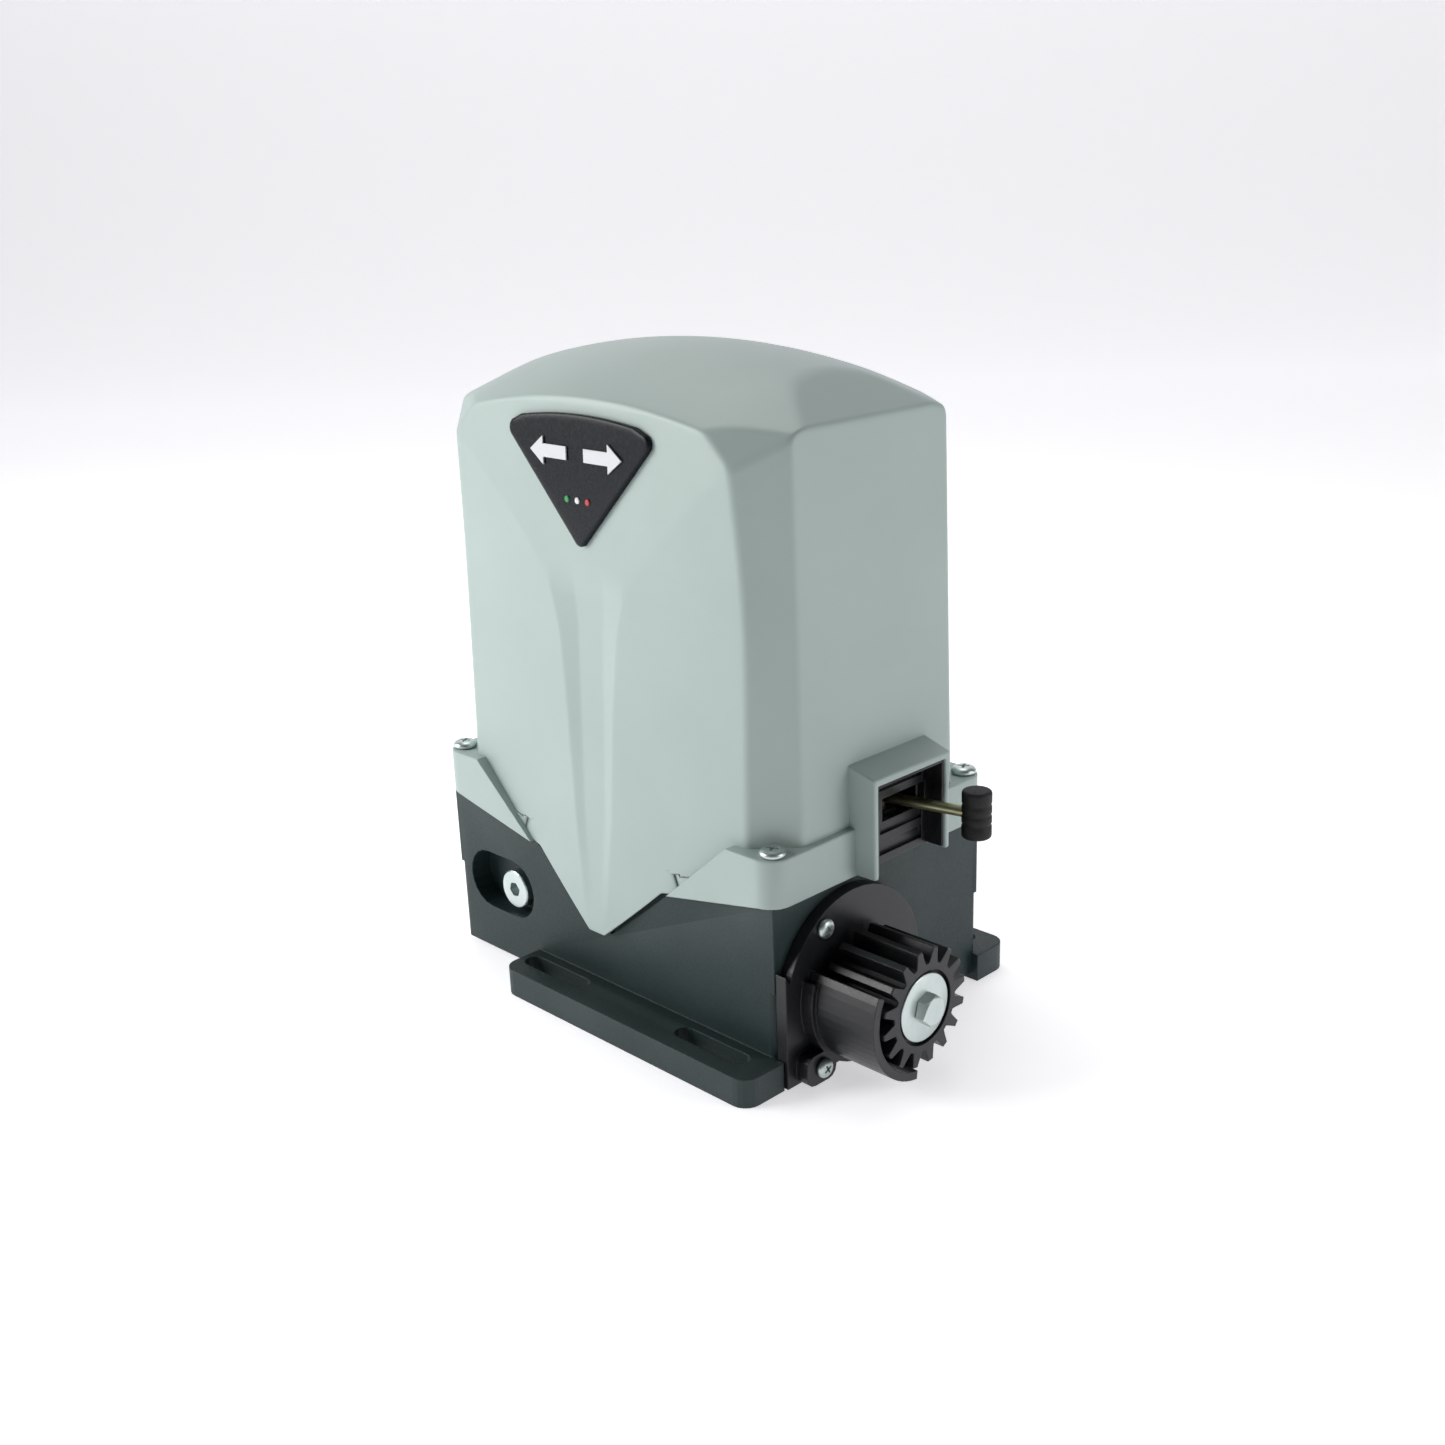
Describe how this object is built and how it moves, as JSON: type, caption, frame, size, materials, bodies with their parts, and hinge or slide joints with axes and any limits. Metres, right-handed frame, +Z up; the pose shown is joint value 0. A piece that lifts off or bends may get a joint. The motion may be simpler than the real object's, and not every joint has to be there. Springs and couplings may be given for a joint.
{
  "type": "sliding gate opener",
  "caption": "Rack-and-pinion gate opener: footed gearcase, tall light-grey cover, toothed drive pinion with guard, swinging limit lever and keyed release.",
  "frame": {"origin": "centre of the gearcase footprint on the mounting plane, at the underside of the cross rib and feet", "axes": "+X along the drive pinion's axis, out of the pinion face; -Y out of the badge face; +Z up; the gate runs along Y"},
  "size_m": [0.2834, 0.1882, 0.315],
  "materials": {
    "casting": "dark grey textured powder coat",
    "cover_plastic": "light grey satin moulding",
    "black_nylon": "black, slight sheen",
    "zinc_plate": "bright zinc plate",
    "machined_steel": "ground",
    "yellow_zinc": "yellow passivated",
    "bronze": "cast",
    "copper": "enamelled wire",
    "laminations": "stacked plate",
    "die_cast": "bare die casting",
    "rubber": "moulded",
    "board_green": "solder mask",
    "relay_cream": "moulded",
    "capacitor_white": "moulded can",
    "gasket_fibre": "fibre",
    "button_red": "moulded",
    "button_blue": "moulded",
    "badge_gloss": "domed",
    "badge_print": "printed"
  },
  "bodies": {
    "operator_base": {"base_casting": "casting", "pinion_guard": "black_nylon", "guard_screw_upper": "zinc_plate", "guard_screw_lower": "zinc_plate", "output_bearing_inner": "machined_steel", "output_bearing_outer": "machined_steel", "oil_seal": "rubber", "motor_plate": "die_cast", "plate_gasket": "gasket_fibre", "plate_bolt_a": "zinc_plate", "plate_bolt_b": "zinc_plate", "plate_bolt_c": "zinc_plate", "plate_bolt_d": "zinc_plate", "worm_bearing_lower": "machined_steel", "worm_bearing_upper": "machined_steel", "rotor_bearing_top": "machined_steel", "stator_core": "laminations", "winding_lower": "copper", "winding_upper": "copper", "stator_spacer": "die_cast", "motor_end_shield": "die_cast", "stator_bolt_a": "zinc_plate", "stator_bolt_b": "zinc_plate", "stator_bolt_c": "zinc_plate", "stator_bolt_d": "zinc_plate", "board_bracket": "zinc_plate", "control_board": "board_green", "terminal_block": "board_green", "motor_relay": "relay_cream", "mains_fuse": "relay_cream", "transformer_core": "laminations", "transformer_coil": "copper", "motor_capacitor": "capacitor_white", "cable_grommet": "rubber", "limit_switch_body": "black_nylon", "limit_bezel": "black_nylon"},
    "output_train": {"output_shaft": "machined_steel", "pinion_key": "machined_steel", "drive_pinion": "black_nylon", "pinion_washer": "zinc_plate", "pinion_bolt": "zinc_plate", "worm_wheel": "bronze"},
    "rotor": {"rotor_shaft": "machined_steel", "rotor_core": "laminations", "rotor_fan": "black_nylon"},
    "limit_arm": {"limit_lever": "yellow_zinc", "lever_cap": "rubber"},
    "release_barrel": {"release_spindle": "zinc_plate"},
    "release_pushrod": {"release_rod": "machined_steel"},
    "set_key": {"set_button": "button_red"},
    "learn_key": {"learn_button": "button_blue"},
    "cover": {"cover_shell": "cover_plastic", "badge_plate": "badge_gloss", "badge_arrow_right": "badge_print", "badge_arrow_left": "badge_print", "cover_screw_front_right": "zinc_plate", "cover_screw_rear_right": "zinc_plate", "cover_screw_rear_left": "zinc_plate", "cover_screw_front_left": "zinc_plate"}
  },
  "joints": [
    {"name": "rotor_spin", "type": "hinge", "parent": "operator_base", "child": "rotor", "pos_m": [0.03, 0.00925, 0], "axis": [0, 0, 1], "continuous": true},
    {"name": "output_spin", "type": "hinge", "parent": "operator_base", "child": "output_train", "pos_m": [0.03, -0.026, 0.038], "axis": [1, 0, 0], "continuous": true},
    {"name": "limit_swing", "type": "hinge", "parent": "operator_base", "child": "limit_arm", "pos_m": [0.101, 0.011, 0.112], "axis": [0, 0, 1], "range_deg": [-30, 15], "stiffness_Nm_per_rad": 0.4},
    {"name": "release_turn", "type": "hinge", "parent": "operator_base", "child": "release_barrel", "pos_m": [-0.075, -0.06, 0.039], "axis": [0, 1, 0], "range_deg": [0, 90]},
    {"name": "release_push", "type": "slide", "parent": "operator_base", "child": "release_pushrod", "axis": [1, 0, 0], "range_m": [0, 0.004]},
    {"name": "set_press", "type": "slide", "parent": "operator_base", "child": "set_key", "axis": [1, 0, 0], "range_m": [0, 0.0006], "stiffness_N_per_m": 600},
    {"name": "learn_press", "type": "slide", "parent": "operator_base", "child": "learn_key", "axis": [1, 0, 0], "range_m": [0, 0.0006], "stiffness_N_per_m": 600},
    {"name": "cover_lift", "type": "slide", "parent": "operator_base", "child": "cover", "axis": [0, 0, 1], "range_m": [0, 0.24]}
  ],
  "couplings": [
    {"joint": "output_spin", "follows": "rotor_spin", "ratio": -0.033333},
    {"joint": "release_push", "follows": "release_turn", "m_per_rad": 0.0025465}
  ]
}
